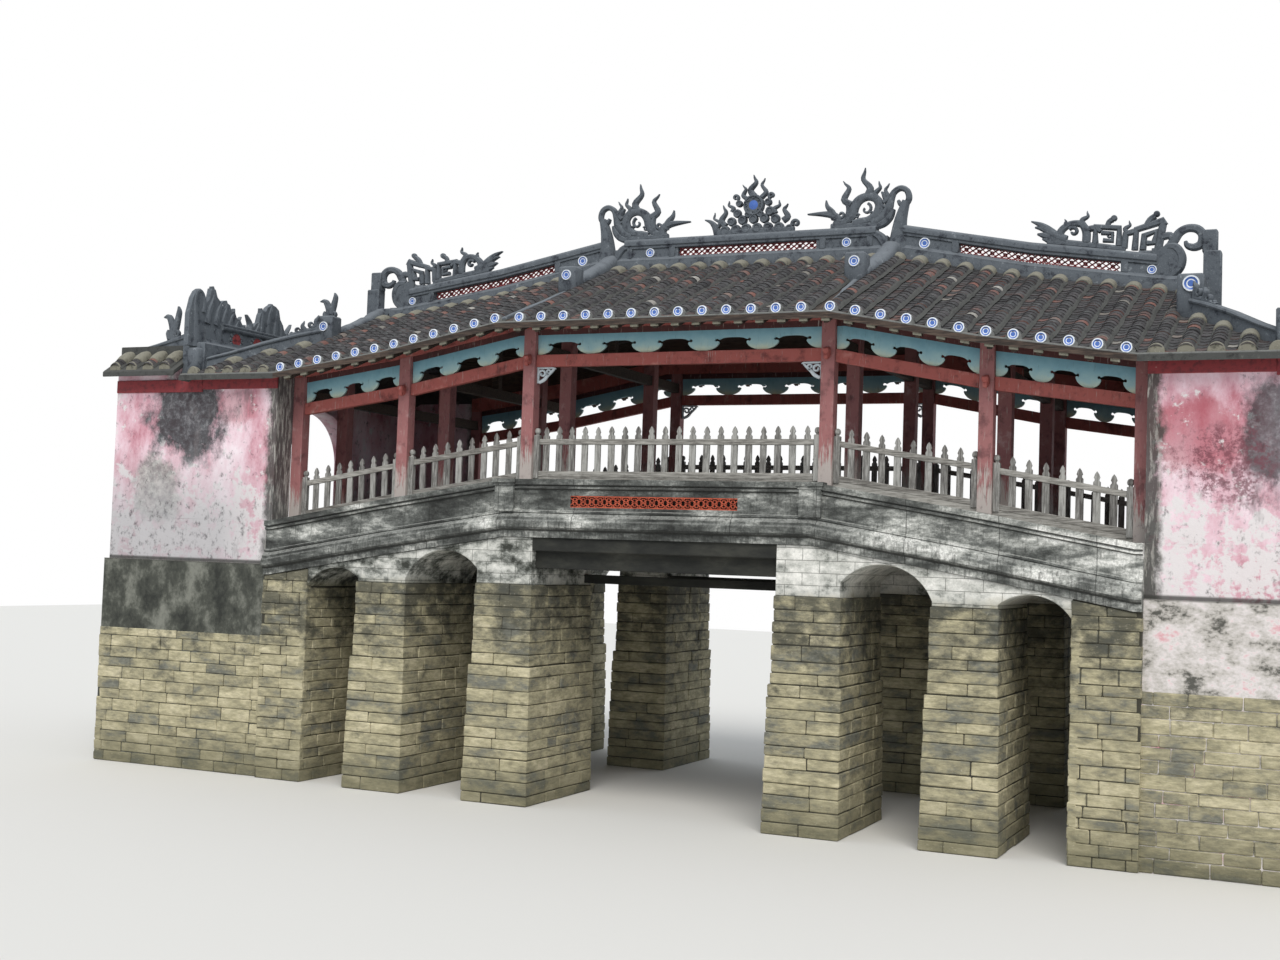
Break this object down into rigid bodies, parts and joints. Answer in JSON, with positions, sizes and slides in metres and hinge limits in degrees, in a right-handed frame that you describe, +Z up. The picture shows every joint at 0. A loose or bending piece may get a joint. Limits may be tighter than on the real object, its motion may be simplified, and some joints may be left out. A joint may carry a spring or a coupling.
{
  "type": "covered bridge",
  "caption": "Covered footbridge with a tiled roof, timber open bays and picket fences on masonry arches, between plastered gatehouses with arched doorways.",
  "frame": {"origin": "middle of the bridge, at the level of the piers' feet", "axes": "+X along the walkway, +Y across it, +Z up"},
  "size_m": [21.4, 7.7, 10.5705],
  "materials": {
    "ashlar": "weathered sandstone blocks, lime mortar joints",
    "cornice_stone": "lime render over stone, stained black by rain",
    "pink_plaster": "limewashed plaster, patchy and stained",
    "roof_tile": "unglazed clay tiles, darkened by lichen",
    "ridge_masonry": "grey lime mortar over brick, weathered",
    "terracotta": "unglazed terracotta",
    "red_timber": "oxide red paint over old wood",
    "dark_timber": "old bare beams and slab",
    "deck_timber": "worn bare planks",
    "grey_timber": "bare wood weathered grey",
    "teal_board": "teal paint, faded"
  },
  "bodies": {
    "root": {"abutment_left": "ashlar", "abutment_right": "ashlar", "arch_wall_front_left": "ashlar", "arch_wall_front_right": "ashlar", "arch_wall_rear_left": "ashlar", "arch_wall_rear_right": "ashlar", "base_grilles": "terracotta", "cornice_front": "cornice_stone", "cornice_rear": "cornice_stone", "cross_frames": "red_timber", "deck_center": "deck_timber", "deck_left": "deck_timber", "deck_right": "deck_timber", "eave_plates": "red_timber", "fence_front_center": "grey_timber", "fence_front_inner_left": "grey_timber", "fence_front_inner_right": "grey_timber", "fence_front_outer_left": "grey_timber", "fence_front_outer_right": "grey_timber", "fence_rear_center": "grey_timber", "fence_rear_inner_left": "grey_timber", "fence_rear_inner_right": "grey_timber", "fence_rear_outer_left": "grey_timber", "fence_rear_outer_right": "grey_timber", "friezes": "teal_board", "gate_bands_left": "ridge_masonry", "gate_bands_right": "ridge_masonry", "gate_ridge_left": "ridge_masonry", "gate_ridge_right": "ridge_masonry", "gate_roof_left": "roof_tile", "gate_roof_right": "roof_tile", "gate_walls_left": "pink_plaster", "gate_walls_right": "pink_plaster", "gateway_wall_left": "pink_plaster", "gateway_wall_right": "pink_plaster", "inner_columns": "red_timber", "lintels": "red_timber", "middle_beams": "dark_timber", "outer_columns": "red_timber", "pier_inner_left": "ashlar", "pier_inner_right": "ashlar", "pier_outer_left": "ashlar", "pier_outer_right": "ashlar", "purlins": "red_timber", "ridge_center": "ridge_masonry", "ridge_left": "ridge_masonry", "ridge_right": "ridge_masonry", "roof_center": "roof_tile", "roof_left": "roof_tile", "roof_right": "roof_tile", "verge_bands": "ridge_masonry", "wing_copings_left": "roof_tile", "wing_copings_right": "roof_tile"}
  },
  "joints": []
}
